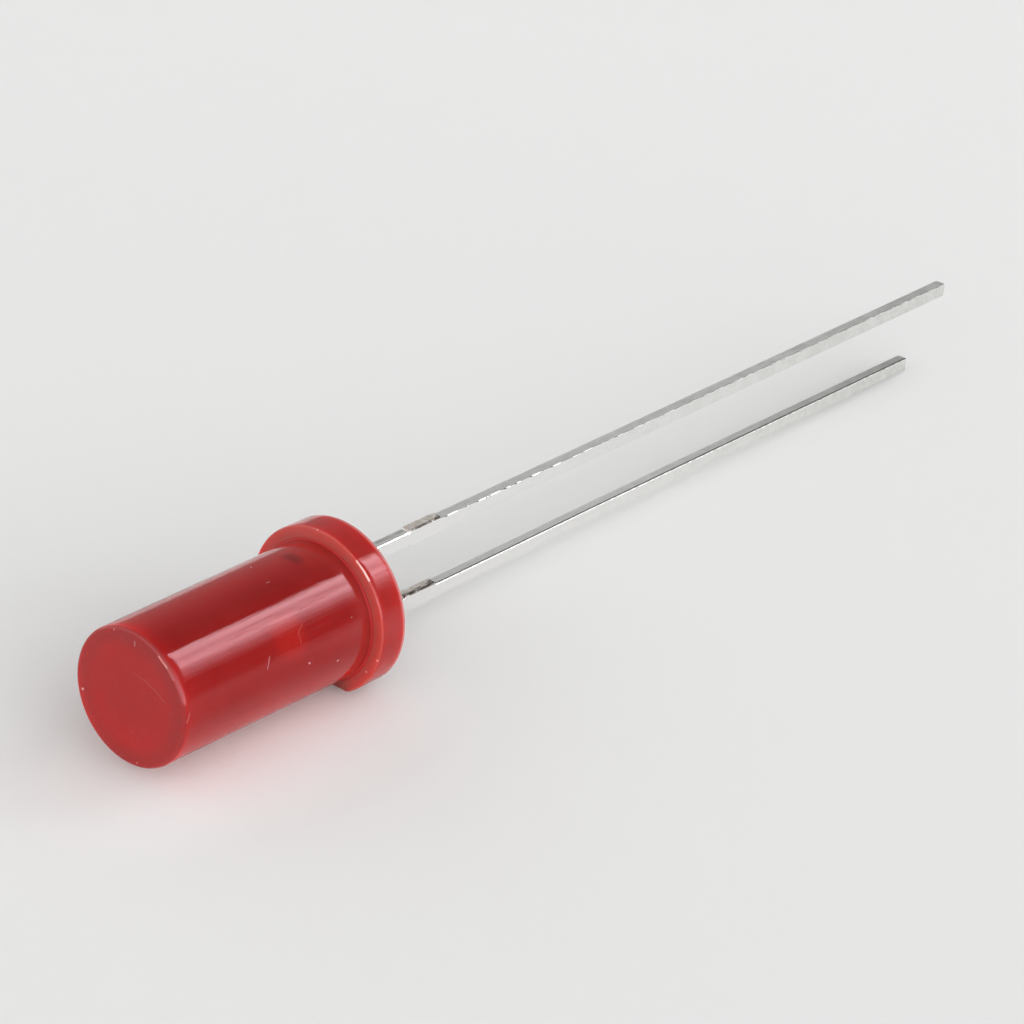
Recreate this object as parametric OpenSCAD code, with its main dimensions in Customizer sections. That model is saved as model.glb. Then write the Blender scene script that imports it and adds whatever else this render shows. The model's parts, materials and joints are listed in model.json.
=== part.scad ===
// Flat-top through-hole LED: cast epoxy case on a stamped two-lead frame.
//
// Every piece is drawn standing, in the LED's own axes: +Z runs along the axis towards the lens front,
// Z = 0 is the rear face of the flange, and the leads hang below it, spaced along X with the cathode at -X.
// lie_down() then lays the whole LED on the ground plane as it comes to rest: on the rear edge of the
// flange's flat and on the tip of the cathode lead, lens towards -X, leads towards +X.

/* [Case] */
// Diameter of the barrel
barrel_d = 5.0; // [4.9:0.05:5.1]
// Height of the case from the rear of the flange to the flat front
case_h = 10.15; // [8.6:0.05:11]
// Fillet round the edge of the flat front
front_fillet = 0.15; // [0.1:0.01:0.3]
// Diameter of the flange
flange_d = 6.0; // [5.8:0.05:6.2]
// Thickness of the flange
flange_h = 1.15; // [0.9:0.05:1.3]
// Round on both edges of the flange
flange_round = 0.06; // [0.03:0.01:0.1]
// Fillet where the barrel meets the flange
neck_fillet = 0.06; // [0.03:0.01:0.1]
// Distance from the axis to the flat that marks the cathode side
flat_r = 2.52; // [2.51:0.01:2.7]

/* [Leads] */
// Distance between the two leads
lead_pitch = 2.54; // [2.5:0.02:2.6]
// Width of a lead across the sheet's edge
lead_w = 0.5; // [0.45:0.01:0.55]
// Thickness of the sheet that the lead frame is stamped from
lead_t = 0.42; // [0.4:0.01:0.5]
// Round on the long corners of a lead below the case
lead_round = 0.05; // [0.03:0.01:0.08]
// Length of the cathode lead below the flange
cathode_len = 31.4; // [20:0.1:35]
// Length of the anode lead below the flange
anode_len = 33.3; // [22:0.1:37]
// Distance from the flange to the stub left by the tie bar
stub_drop = 3.1; // [2.5:0.1:4]
// Length of the stub left by the tie bar
stub_len = 1.65; // [1:0.05:2]
// How far the stub stands out from the lead on each side
stub_proud = 0.08; // [0.05:0.01:0.15]

/* [Reflector cup] */
// Height of the cup's rim above the rear of the flange
cup_rim_h = 4.05; // [3.8:0.05:4.5]
// Outer diameter of the cup
cup_d = 1.1; // [1:0.05:1.2]
// Depth of the cup
cup_depth = 0.35; // [0.3:0.01:0.4]
// Diameter of the cup's mouth
cup_mouth_d = 0.84; // [0.8:0.01:0.9]
// Diameter of the cup's floor
cup_floor_d = 0.5; // [0.46:0.01:0.6]

/* [Chip and wire] */
// Side of the square chip
die_side = 0.28; // [0.2:0.01:0.3]
// Height of the chip
die_h = 0.2; // [0.15:0.01:0.25]
// Thickness of the adhesive under the chip
attach_h = 0.03; // [0.02:0.01:0.05]
// Diameter of the adhesive spot
attach_d = 0.44; // [0.42:0.01:0.46]
// Diameter of the bond wire
wire_d = 0.03; // [0.025:0.005:0.04]
// How far the wire's loop rises above a straight line
loop_rise = 0.55; // [0.5:0.05:0.7]
// Diameter of the ball bond and of the stitch bond
bond_d = 0.09; // [0.08:0.01:0.1]
// Height of the ball bond and of the stitch bond
bond_h = 0.03; // [0.02:0.01:0.04]

/* [Hidden] */
$fn = 64;

barrel_r = barrel_d / 2;
flange_r = flange_d / 2;
lead_x = lead_pitch / 2;

// Heights above the rear of the flange: the anvil's top, the cup's floor, the chip's top and the post's top
anvil_top_h = 3.1;
cup_floor_h = cup_rim_h - cup_depth;
die_top_h = cup_floor_h + attach_h + die_h;
post_top_h = 3.3;

// Distance from the axis to the stitch bond on the post
post_bond_x = 1.12;

// Height over which the anvil swells from the sheet's thickness to the cup's diameter
flare_h = 0.4;

// Straight stretch of each lead inside the case, before it widens
tail_h = 0.7;

// Stampings: outlines of the anvil under the cup and of the bond post, as [x, z] corners
anvil_outline = [
    [-lead_x - lead_w / 2, 0], [-lead_x - lead_w / 2, tail_h], [-1.9, 1.1], [-1.9, 2.2], [-cup_d / 2, anvil_top_h],
    [cup_d / 2, anvil_top_h], [0.55, 2.7], [0.2, 1.6], [-0.3, 1.1], [-lead_x + lead_w / 2, tail_h],
    [-lead_x + lead_w / 2, 0]
];
post_outline = [
    [lead_x - lead_w / 2, 0], [lead_x - lead_w / 2, tail_h], [0.35, 1.1], [0.9, 2.7], [0.9, post_top_h],
    [1.35, post_top_h], [1.9, 2.5], [1.9, 1.1], [lead_x + lead_w / 2, tail_h], [lead_x + lead_w / 2, 0]
];

// Lying pose: the ground line touches the round under the flange and passes through the cathode's tip.
// tilt is its angle to the axis, and rest_x and rest_z stand the bounding box on Z = 0, centred on X = 0.
round_x = flat_r - flange_round;
tip_x = lead_x + lead_w / 2;
tip_drop = flange_round + cathode_len;
tilt = atan((round_x - tip_x) / tip_drop) + asin(flange_round / norm([round_x - tip_x, tip_drop]));
front_reach = (barrel_r - front_fillet) * sin(tilt) + (case_h - front_fillet) * cos(tilt) + front_fillet;
tip_reach = tip_x * sin(tilt) + anode_len * cos(tilt);
rest_x = (front_reach - tip_reach) / 2;
rest_z = round_x * cos(tilt) + flange_round * (1 - sin(tilt));

module lie_down() {
    translate([rest_x, 0, rest_z]) rotate([0, tilt - 90, 0]) children();
}

// Rectangle with its corner at [w, h] rounded, the others square
module one_round(w, h, r) {
    square([w - r, h]);
    square([w, h - r]);
    translate([w - r, h - r]) circle(r);
}

// Half section of the case: radius along X, height along Y
module case_section() {
    intersection() {
        one_round(barrel_r, case_h, front_fillet);
        square([barrel_r, case_h]);
    }
    intersection() {
        one_round(flange_r, flange_h, flange_round);
        translate([0, flange_h]) mirror([0, 1]) one_round(flange_r, flange_h, flange_round);
    }
    difference() {
        translate([0, flange_h - neck_fillet]) square([barrel_r + neck_fillet, 2 * neck_fillet]);
        translate([barrel_r + neck_fillet, flange_h + neck_fillet]) circle(neck_fillet);
    }
}

// What the mould leaves out beside the flange's flat: a prism whose inner edge rounds off the rear of the flat
module flat_cut() {
    clear = 1;
    rotate([90, 0, 0]) linear_extrude(flange_d, center = true) {
        translate([-flange_r - clear, -clear]) square([flange_r + clear - flat_r, flange_h + 2 * clear]);
        difference() {
            translate([-flat_r - clear, -clear]) square([clear + flange_round, clear + flange_round]);
            translate([-round_x, flange_round]) circle(flange_round);
        }
    }
}

// A flat stamping of the sheet, standing in the X-Z plane
module stamping(outline) {
    rotate([90, 0, 0]) linear_extrude(lead_t, center = true) polygon(outline);
}

// Section of a lead below the case
module lead_section() {
    for (sx = [-1, 1], sy = [-1, 1])
        translate([sx * (lead_w / 2 - lead_round), sy * (lead_t / 2 - lead_round)]) circle(lead_round);
    square([lead_w - 2 * lead_round, lead_t], center = true);
    square([lead_w, lead_t - 2 * lead_round], center = true);
}

// A lead below the case, with the stub that was left when the tie bar was cut away
module lead_leg(length) {
    translate([0, 0, -length]) linear_extrude(length) lead_section();
    translate([-lead_w / 2 - stub_proud, -lead_t / 2, -stub_drop - stub_len])
        cube([lead_w + 2 * stub_proud, lead_t, stub_len]);
}

// Head of the anvil with the conical reflector cup pressed into it
module cup_head() {
    difference() {
        union() {
            translate([0, 0, anvil_top_h]) cylinder(h = cup_rim_h - anvil_top_h, d = cup_d);
            translate([0, 0, anvil_top_h - flare_h]) cylinder(h = flare_h, d1 = lead_t, d2 = cup_d);
        }
        translate([0, 0, cup_floor_h]) cylinder(h = cup_depth, d1 = cup_floor_d, d2 = cup_mouth_d);
    }
}

module cathode_shape() {
    stamping(anvil_outline);
    translate([-lead_x, 0, 0]) lead_leg(cathode_len);
    cup_head();
}

module anode_shape() {
    stamping(post_outline);
    translate([lead_x, 0, 0]) lead_leg(anode_len);
}

module attach_shape() {
    translate([0, 0, cup_floor_h]) cylinder(h = attach_h, d = attach_d);
}

module die_shape() {
    translate([0, 0, cup_floor_h + attach_h + die_h / 2]) cube([die_side, die_side, die_h], center = true);
}

// The wire's centre line: it leaves the chip and meets the post upright, in one loop
function loop_x(u) = post_bond_x * (1 - cos(180 * u)) / 2;
function loop_z(u) = die_top_h + (post_top_h - die_top_h) * u + loop_rise * sin(180 * u);
function loop_slope(u) = atan2(
    post_top_h - die_top_h + loop_rise * PI * cos(180 * u),
    post_bond_x * PI * sin(180 * u) / 2
);

WIRE_SIDES = 8;
WIRE_STEPS = 28;

module wire_loop() {
    r = wire_d / 2;
    rings = [
        for (i = [0:WIRE_STEPS], k = [0:WIRE_SIDES - 1])
            let (u = i / WIRE_STEPS, lean = loop_slope(u), a = 360 * k / WIRE_SIDES)
                [loop_x(u) - r * cos(a) * sin(lean), r * sin(a), loop_z(u) + r * cos(a) * cos(lean)]
    ];
    sides = [
        for (i = [0:WIRE_STEPS - 1], k = [0:WIRE_SIDES - 1])
            let (n = WIRE_SIDES, a = i * n + k, b = i * n + (k + 1) % n)
                [a, b, b + n, a + n]
    ];
    first_end = [for (k = [WIRE_SIDES - 1:-1:0]) k];
    last_end = [for (k = [0:WIRE_SIDES - 1]) WIRE_STEPS * WIRE_SIDES + k];
    polyhedron(points = rings, faces = concat(sides, [first_end, last_end]));
}

module wire_shape() {
    wire_loop();
    translate([0, 0, die_top_h]) cylinder(h = bond_h, d = bond_d);
    translate([post_bond_x, 0, post_top_h]) cylinder(h = bond_h, d = bond_d);
}

module case() {
    color([0.68, 0.09, 0.11]) lie_down() difference() {
        rotate_extrude() case_section();
        flat_cut();
        cathode_shape();
        anode_shape();
        attach_shape();
        die_shape();
        wire_shape();
    }
}

module cathode_lead() {
    color([0.72, 0.72, 0.7]) lie_down() cathode_shape();
}

module anode_lead() {
    color([0.72, 0.72, 0.7]) lie_down() anode_shape();
}

module die_attach() {
    color([0.6, 0.6, 0.6]) lie_down() attach_shape();
}

module die() {
    color([0.75, 0.45, 0.2]) lie_down() die_shape();
}

module bond_wire() {
    color([0.9, 0.7, 0.3]) lie_down() wire_shape();
}

case();
cathode_lead();
anode_lead();
die_attach();
die();
bond_wire();
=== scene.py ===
"""Flat-top through-hole LED lying on a pale studio floor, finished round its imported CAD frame."""

import json
import math

import bmesh
import bpy
from mathutils import Matrix, Vector, noise


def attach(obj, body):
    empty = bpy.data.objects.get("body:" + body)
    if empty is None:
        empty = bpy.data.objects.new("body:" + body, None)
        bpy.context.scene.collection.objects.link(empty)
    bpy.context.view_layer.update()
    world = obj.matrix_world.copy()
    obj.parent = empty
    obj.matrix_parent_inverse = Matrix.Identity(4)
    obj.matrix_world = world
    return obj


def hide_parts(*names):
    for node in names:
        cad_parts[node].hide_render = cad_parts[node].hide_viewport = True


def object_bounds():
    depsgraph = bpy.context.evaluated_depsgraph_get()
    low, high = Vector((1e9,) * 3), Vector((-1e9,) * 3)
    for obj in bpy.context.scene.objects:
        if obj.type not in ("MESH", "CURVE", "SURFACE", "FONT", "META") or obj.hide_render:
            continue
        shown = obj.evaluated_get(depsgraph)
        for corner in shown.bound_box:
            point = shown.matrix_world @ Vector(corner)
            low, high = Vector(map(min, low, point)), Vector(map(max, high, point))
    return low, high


bl_info = {
    "name": "Flat-top LED",
    "version": (1, 0, 0),
    "blender": (4, 5, 0),
    "location": "3D Viewport > Sidebar > LED",
    "description": "Builds the resin case, the stamped leads and the chip of a flat-top LED, and its studio",
    "category": "Object",
}

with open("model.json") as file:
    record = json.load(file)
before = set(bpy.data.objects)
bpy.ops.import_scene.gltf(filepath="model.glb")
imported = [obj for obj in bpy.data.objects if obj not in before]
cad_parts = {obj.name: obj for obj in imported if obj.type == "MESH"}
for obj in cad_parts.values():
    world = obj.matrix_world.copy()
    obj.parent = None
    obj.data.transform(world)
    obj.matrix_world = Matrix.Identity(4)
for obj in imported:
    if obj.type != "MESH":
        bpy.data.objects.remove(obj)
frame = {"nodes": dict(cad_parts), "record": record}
CAD_LOW, CAD_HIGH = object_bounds()

MM = 0.001

# Closer than this counts as touching, in millimetres
NEAR = 1e-3

# How far the cathode lead bows away from the anode lead, and the heights over which it does, in millimetres
BOW = 0.05
BOW_STARTS = (-0.2, -4.2)
BOW_ENDS = (-14.0, -5.2)

# Heights of the stub's two ends below the flange, and how far it stands out, in millimetres
STUB_TOP, STUB_END, STUB_PROUD = -3.1, -4.75, 0.08

MOUNTS = {m["name"]: m for m in frame["record"]["mounts"]}


def led_axes():
    """Matrix from the LED's own axes to the world: Z runs to the lens front, X to the anode side."""
    along = -Vector(MOUNTS["board_seat"]["axis"]).normalized()
    across = Vector((0.0, 1.0, 0.0))
    up = across.cross(along).normalized()
    turn = Matrix((up, across, along)).transposed().to_4x4()
    return Matrix.Translation(Vector(MOUNTS["board_seat"]["pos_m"])) @ turn


LED = led_axes()
TO_LED = LED.inverted()


def led_span(node):
    """Lowest and highest corner of a CAD node in the LED's own axes, in metres."""
    points = [TO_LED @ v.co for v in frame["nodes"][node].data.vertices]
    low = Vector([min(p[i] for p in points) for i in range(3)])
    high = Vector([max(p[i] for p in points) for i in range(3)])
    return low, high


CASE_LOW, CASE_HIGH = led_span("case")
CATHODE_LOW, CATHODE_HIGH = led_span("cathode_lead")
ANODE_LOW, ANODE_HIGH = led_span("anode_lead")
CHIP_LOW = led_span("die")[0]


# ---- settings

class LedCaseSettings(bpy.types.PropertyGroup):
    barrel_radius: bpy.props.FloatProperty(
        name="Barrel radius", description="Radius of the cast barrel",
        default=MOUNTS["barrel"]["dims"]["r_mm"] * MM, min=0.001, unit="LENGTH", precision=5)
    case_height: bpy.props.FloatProperty(
        name="Case height", description="From the rear of the flange to the flat front",
        default=CASE_HIGH.z, min=0.002, unit="LENGTH", precision=5)
    flange_radius: bpy.props.FloatProperty(
        name="Flange radius", description="Radius of the flange",
        default=CASE_HIGH.y, min=0.001, unit="LENGTH", precision=5)
    flange_height: bpy.props.FloatProperty(
        name="Flange thickness", description="Thickness of the flange",
        default=(TO_LED @ Vector(MOUNTS["panel_seat"]["pos_m"])).z, min=0.0001, unit="LENGTH", precision=5)
    flat_radius: bpy.props.FloatProperty(
        name="Flat", description="Distance from the axis to the flat that marks the cathode side",
        default=-CASE_LOW.x, min=0.001, unit="LENGTH", precision=5)
    edge_round: bpy.props.FloatProperty(
        name="Edge round", description="Round on the edges of the flange",
        default=0.00006, min=0.00001, unit="LENGTH", precision=5)
    neck_round: bpy.props.FloatProperty(
        name="Neck round", description="Fillet where the barrel meets the flange",
        default=0.00004, min=0.00001, unit="LENGTH", precision=5)
    front_round: bpy.props.FloatProperty(
        name="Front round", description="Round on the edge of the flat front",
        default=0.00015, min=0.00001, unit="LENGTH", precision=5)
    resin: bpy.props.FloatVectorProperty(
        name="Resin", description="Colour of the tinted and diffused resin",
        subtype="COLOR", size=3, default=(0.252, 0.012, 0.011), min=0.0, max=1.0)
    deep_resin: bpy.props.FloatVectorProperty(
        name="Deep resin", description="Colour of the resin where it is clearest",
        subtype="COLOR", size=3, default=(0.225, 0.008, 0.007), min=0.0, max=1.0)


class LedLeadSettings(bpy.types.PropertyGroup):
    pitch: bpy.props.FloatProperty(
        name="Pitch", description="Distance between the two leads",
        default=0.00254, min=0.001, unit="LENGTH", precision=5)
    width: bpy.props.FloatProperty(
        name="Width", description="Width of a lead across the sheet's edge",
        default=0.0005, min=0.0001, unit="LENGTH", precision=5)
    thickness: bpy.props.FloatProperty(
        name="Thickness", description="Thickness of the sheet that the leads are stamped from",
        default=ANODE_HIGH.y - ANODE_LOW.y, min=0.0001, unit="LENGTH", precision=5)
    anode_length: bpy.props.FloatProperty(
        name="Anode length", description="Length of the anode lead below the flange",
        default=-ANODE_LOW.z, min=0.001, unit="LENGTH", precision=5)
    cathode_length: bpy.props.FloatProperty(
        name="Cathode length", description="Length of the cathode lead below the flange",
        default=-CATHODE_LOW.z, min=0.001, unit="LENGTH", precision=5)
    tin: bpy.props.FloatVectorProperty(
        name="Tin", description="Colour of the tin plating",
        subtype="COLOR", size=3, default=(0.93, 0.925, 0.915), min=0.0, max=1.0)
    sheared: bpy.props.FloatVectorProperty(
        name="Sheared steel", description="Colour of the steel where the tie bar was cut away",
        subtype="COLOR", size=3, default=(0.68, 0.62, 0.56), min=0.0, max=1.0)


class LedStageSettings(bpy.types.PropertyGroup):
    floor: bpy.props.FloatVectorProperty(
        name="Floor", description="Colour of the floor",
        subtype="COLOR", size=3, default=(0.80, 0.80, 0.795), min=0.0, max=1.0)
    azimuth: bpy.props.FloatProperty(
        name="Azimuth", description="Turn of the camera round the LED, from looking along +Y",
        default=math.radians(-50.6), subtype="ANGLE")
    elevation: bpy.props.FloatProperty(
        name="Elevation", description="Height of the camera above the floor, as an angle",
        default=math.radians(29.53), subtype="ANGLE")
    roll: bpy.props.FloatProperty(
        name="Roll", description="Turn of the camera about its own line of sight",
        default=math.radians(3.9), subtype="ANGLE")
    distance: bpy.props.FloatProperty(
        name="Distance", description="Distance from the camera to the point it aims at",
        default=0.198, min=0.01, unit="LENGTH")
    lens: bpy.props.FloatProperty(
        name="Lens", description="Focal length of the camera on a 36 mm sensor",
        default=202.0, min=10.0, subtype="DISTANCE_CAMERA")
    sky: bpy.props.FloatProperty(
        name="Tent light", description="Strength of the white tent round the LED",
        default=1.9, min=0.0)
    softbox: bpy.props.FloatProperty(
        name="Softbox", description="Strength of the softbox at the lead side",
        default=7.6, min=0.0)


# ---- helpers for meshes

def moved_verts(result):
    return [e for e in result["geom"] if isinstance(e, bmesh.types.BMVert)]


def outline(bm, corners):
    """A chain of edges through corners given as (radius, height), in the X-Z plane."""
    verts = [bm.verts.new((r, 0.0, h)) for r, h in corners]
    return [bm.edges.new(pair) for pair in zip(verts, verts[1:])]


def turn_solid(bm, corners, cuts, steps):
    """Spins an outline round Z into a closed solid, with each edge cut into shorter ones first."""
    edges = outline(bm, corners)
    for edge, count in zip(edges, cuts):
        if count:
            bmesh.ops.subdivide_edges(bm, edges=[edge], cuts=count)
    bmesh.ops.spin(bm, geom=bm.verts[:] + bm.edges[:], cent=(0, 0, 0), axis=(0, 0, 1),
                   dvec=(0, 0, 0), angle=math.tau, steps=steps, use_merge=True,
                   use_normal_flip=False, use_duplicate=False)
    bmesh.ops.remove_doubles(bm, verts=bm.verts, dist=1e-4)
    bmesh.ops.recalc_face_normals(bm, faces=bm.faces)


def ring_edges(bm, radius, height):
    """The edges of the circle of that radius at that height."""
    def on_ring(v):
        return abs(v.co.z - height) < NEAR and abs(math.hypot(v.co.x, v.co.y) - radius) < NEAR
    return [e for e in bm.edges if all(on_ring(v) for v in e.verts)]


def round_ring(bm, radius, height, amount, segments):
    bmesh.ops.bevel(bm, geom=ring_edges(bm, radius, height), offset=amount, offset_type="OFFSET",
                    segments=segments, profile=0.5, affect="EDGES", clamp_overlap=True, material=-1)


def slice_off(bm, point, normal):
    """Cuts away what lies beyond a plane and closes the cut."""
    cut = bmesh.ops.bisect_plane(bm, geom=bm.verts[:] + bm.edges[:] + bm.faces[:], dist=1e-5,
                                 plane_co=point, plane_no=normal, clear_outer=True)
    edges = [e for e in cut["geom_cut"] if isinstance(e, bmesh.types.BMEdge)]
    bmesh.ops.holes_fill(bm, edges=edges, sides=0)


def extrude_along(bm, face, stations):
    """Draws a face along Z through a list of heights, one ring at each."""
    height = face.calc_center_median().z
    for step, station in enumerate(stations):
        result = bmesh.ops.extrude_face_region(bm, geom=[face])
        bmesh.ops.translate(bm, verts=moved_verts(result), vec=(0, 0, station - height))
        if step:
            bmesh.ops.delete(bm, geom=[face], context="FACES_ONLY")
        face = next(e for e in result["geom"] if isinstance(e, bmesh.types.BMFace))
        height = station


def make_object(bm, name, material):
    """Makes a bmesh an object."""
    mesh = bpy.data.meshes.new(name)
    bm.to_mesh(mesh)
    bm.free()
    mesh.materials.append(material)
    made = bpy.data.objects.new(name, mesh)
    bpy.context.scene.collection.objects.link(made)
    return made


def finish_piece(bm, name, material, slot, *replaced, crease=32.0):
    """Turns a bmesh drawn in the LED's axes, in millimetres, into a piece that rides on the frame."""
    bmesh.ops.recalc_face_normals(bm, faces=bm.faces)
    bmesh.ops.transform(bm, matrix=LED @ Matrix.Scale(MM, 4), verts=bm.verts)
    for v in bm.verts:
        v.co = [min(high, max(low, c)) for low, c, high in zip(CAD_LOW, v.co, CAD_HIGH)]
    piece = make_object(bm, name, material)
    piece.data.shade_smooth()
    piece.data.set_sharp_from_angle(angle=math.radians(crease))
    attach(piece, "root")
    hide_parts(*replaced)


def smooth_step(value, low, high):
    """0 at low and 1 at high, with an easy start and end."""
    share = min(1.0, max(0.0, (value - low) / (high - low)))
    return share * share * (3.0 - 2.0 * share)


# ---- helpers for materials

def fill(tree, node, inputs):
    """Gives a node's inputs values or links."""
    for key, value in inputs.items():
        if isinstance(value, bpy.types.NodeSocket):
            tree.links.new(value, node.inputs[key])
        else:
            node.inputs[key].default_value = value
    return node


def add(tree, kind, inputs=None, **settings):
    """Adds a shader node, sets its options, and gives its inputs values or links."""
    made = tree.nodes.new(kind)
    for key, value in settings.items():
        setattr(made, key, value)
    return fill(tree, made, inputs or {})


def math_node(tree, operation, a, b=0.0, clamp=False):
    return add(tree, "ShaderNodeMath", {0: a, 1: b}, operation=operation, use_clamp=clamp).outputs[0]


def times(tree, value, *factors):
    """The product of a value and its factors."""
    for factor in factors:
        value = math_node(tree, "MULTIPLY", value, factor)
    return value


def plus(tree, value, *terms):
    """The sum of a value and its terms."""
    for term in terms:
        value = math_node(tree, "ADD", value, term)
    return value


def vector_node(tree, operation, a, b=(0.0, 0.0, 0.0), out=0):
    return add(tree, "ShaderNodeVectorMath", {0: a, 1: b}, operation=operation).outputs[out]


def ramp_value(tree, value, low, high, to_low=0.0, to_high=1.0, smooth=True):
    """Maps a value from low..high to to_low..to_high, held at both ends."""
    kind = "SMOOTHSTEP" if smooth else "LINEAR"
    return add(tree, "ShaderNodeMapRange", {"Value": value, "From Min": low, "From Max": high,
                                            "To Min": to_low, "To Max": to_high},
               interpolation_type=kind).outputs["Result"]


def band_value(tree, value, rise, fall):
    """1 between two ramps, given as the pairs that they rise and fall over, and 0 beyond them."""
    return times(tree, ramp_value(tree, value, *rise), ramp_value(tree, value, *fall, 1.0, 0.0))


def mix_colour(tree, factor, a, b):
    a, b = (c if isinstance(c, bpy.types.NodeSocket) else (*c, 1.0) for c in (a, b))
    return add(tree, "ShaderNodeMix", {0: factor, 6: a, 7: b}, data_type="RGBA").outputs[2]


def mix_value(tree, factor, a, b):
    return add(tree, "ShaderNodeMix", {0: factor, 2: a, 3: b}, data_type="FLOAT").outputs[0]


def tinted(tree, colour, *layers):
    """Lays tints over a colour in order, each given as a mask, its strength and the tint."""
    for mask, strength, tint in layers:
        colour = mix_colour(tree, times(tree, mask, strength), colour, tint)
    return colour


def roughened(tree, value, *layers):
    """Adds masks to a roughness in order, each given as a mask and its strength."""
    for mask, strength in layers:
        value = math_node(tree, "ADD", value, times(tree, mask, strength), clamp=True)
    return value


def noise_value(tree, vector, scale, detail=3.0, rough=0.5):
    return add(tree, "ShaderNodeTexNoise", {"Vector": vector, "Scale": scale, "Detail": detail,
                                            "Roughness": rough}).outputs["Fac"]


def stretched(tree, vector, scale):
    """The vector with its axes scaled apart, so that a pattern runs along one of them."""
    return vector_node(tree, "MULTIPLY", vector, scale)


def empty_tree(owner):
    """The node tree of a material or a world, with nothing in it."""
    owner.use_nodes = True
    owner.node_tree.nodes.clear()
    return owner.node_tree


def new_material(name):
    material = bpy.data.materials.new(name)
    tree = empty_tree(material)
    shader = add(tree, "ShaderNodeBsdfPrincipled")
    add(tree, "ShaderNodeOutputMaterial", {"Surface": shader.outputs[0]})
    return material, tree, shader


def led_millimetres(tree):
    """Object coordinates turned into the LED's own axes, in millimetres."""
    coordinates = add(tree, "ShaderNodeTexCoord")
    turn = TO_LED.to_euler()
    place = TO_LED.translation / MM
    return add(tree, "ShaderNodeMapping",
               {"Vector": coordinates.outputs["Object"], "Location": place, "Rotation": turn,
                "Scale": (1 / MM, 1 / MM, 1 / MM)}, vector_type="POINT").outputs["Vector"]


def new_group(name, output, *inputs):
    """A shader node group with one output: its tree, the socket that the output takes, and its inputs."""
    group = bpy.data.node_groups.new(name, "ShaderNodeTree")
    for label, kind, default in inputs:
        socket = group.interface.new_socket(label, in_out="INPUT", socket_type=kind)
        if default is not None:
            socket.default_value = default
    group.interface.new_socket(output, in_out="OUTPUT", socket_type=FLOAT)
    end = group.nodes.new("NodeGroupOutput").inputs[0]
    return group, end, *group.nodes.new("NodeGroupInput").outputs[:len(inputs)]


def use_group(tree, name, **inputs):
    """The output of a shared group, with its inputs given by their names."""
    return add(tree, "ShaderNodeGroup", inputs, node_tree=bpy.data.node_groups[name]).outputs[0]


def bump_normal(tree, relief, distance):
    bump = add(tree, "ShaderNodeBump", {"Height": relief, "Strength": 1.0, "Distance": distance})
    return bump.outputs["Normal"]


def split_axes(tree, vector):
    return add(tree, "ShaderNodeSeparateXYZ", {0: vector}).outputs


# ---- shared effects

VECTOR, FLOAT = "NodeSocketVector", "NodeSocketFloat"


def make_dust_group():
    """Scattered grains: a mask of round specks, with their density, share and size."""
    group, end, vector, density, share, size = new_group(
        "fine_dust", "Mask", ("Vector", VECTOR, None), ("Density", FLOAT, 1.0),
        ("Share", FLOAT, 0.2), ("Size", FLOAT, 0.1))
    cells = add(group, "ShaderNodeTexVoronoi", {"Vector": vector, "Scale": density})
    pick = add(group, "ShaderNodeSeparateColor", {"Color": cells.outputs["Color"]})
    chosen = math_node(group, "LESS_THAN", pick.outputs[0], share)
    reach = times(group, size, plus(group, pick.outputs[1], 0.35))
    near = math_node(group, "DIVIDE", cells.outputs["Distance"], reach)
    group.links.new(times(group, ramp_value(group, near, 0.6, 1.0, 1.0, 0.0), chosen), end)


def make_scratch_group():
    """Fine scratches: a mask of thin broken lines that run along the vector's Z."""
    group, end, vector, scale, width, share = new_group(
        "fine_scratches", "Mask", ("Vector", VECTOR, None), ("Scale", FLOAT, 8.0),
        ("Width", FLOAT, 0.03), ("Share", FLOAT, 0.5))
    scaled = vector_node(group, "SCALE", vector)
    group.links.new(scale, scaled.node.inputs["Scale"])
    lines = noise_value(group, scaled, 1.0, 1.0)
    near = math_node(group, "ABSOLUTE", math_node(group, "SUBTRACT", lines, 0.5))
    thin = ramp_value(group, math_node(group, "DIVIDE", near, width), 0.0, 1.0, 1.0, 0.0)
    patches = noise_value(group, vector, 1.7, 2.0)
    broken = ramp_value(group, math_node(group, "SUBTRACT", patches, share), 0.0, 0.05)
    group.links.new(times(group, thin, broken), end)


def make_mottle_group():
    """Two sizes of soft patches mixed into one even value."""
    group, end, vector, large, small, balance = new_group(
        "mottle", "Value", ("Vector", VECTOR, None), ("Large", FLOAT, 2.0),
        ("Small", FLOAT, 10.0), ("Balance", FLOAT, 0.5))
    group.links.new(mix_value(group, balance, noise_value(group, vector, large, 2.0),
                              noise_value(group, vector, small, 4.0, 0.6)), end)


def make_buried_group():
    """How close the surface is to a block buried under it: 1 at the block, 0 beyond the reach."""
    group, end, vector, centre, half, near, reach = new_group(
        "buried_block", "Mask", ("Vector", VECTOR, None),
        ("Centre", VECTOR, (0, 0, 0)), ("Half", VECTOR, (1, 1, 1)),
        ("Near", FLOAT, 0.3), ("Reach", FLOAT, 1.0))
    away = vector_node(group, "ABSOLUTE", vector_node(group, "SUBTRACT", vector, centre))
    outside = vector_node(group, "MAXIMUM", vector_node(group, "SUBTRACT", away, half))
    distance = vector_node(group, "LENGTH", outside, out=1)
    group.links.new(ramp_value(group, distance, near, reach, 1.0, 0.0), end)


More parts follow.
